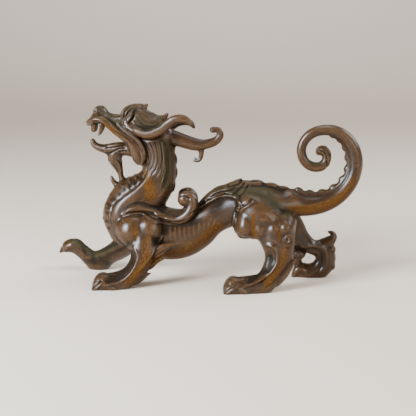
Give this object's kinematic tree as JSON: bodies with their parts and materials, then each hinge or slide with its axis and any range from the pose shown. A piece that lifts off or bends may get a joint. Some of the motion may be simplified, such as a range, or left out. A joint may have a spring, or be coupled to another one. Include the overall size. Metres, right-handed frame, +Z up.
{
  "type": "bronze dragon figurine",
  "caption": "Walking dragon cast in one piece, with raised head, open mouth, shoulder bands that end in curls, scaled back and a tail rolled into a spiral.",
  "frame": {"origin": "middle of the figure's bounding box seen from above, on the plane of its soles", "axes": "+X from head to tail, +Y towards the dragon's right side, +Z up"},
  "size_m": [0.235, 0.071, 0.136],
  "materials": {
    "bronze": "dark brown patinated and waxed cast bronze, rubbed lighter on raised parts"
  },
  "bodies": {
    "root": {"dragon": "bronze"}
  },
  "joints": []
}
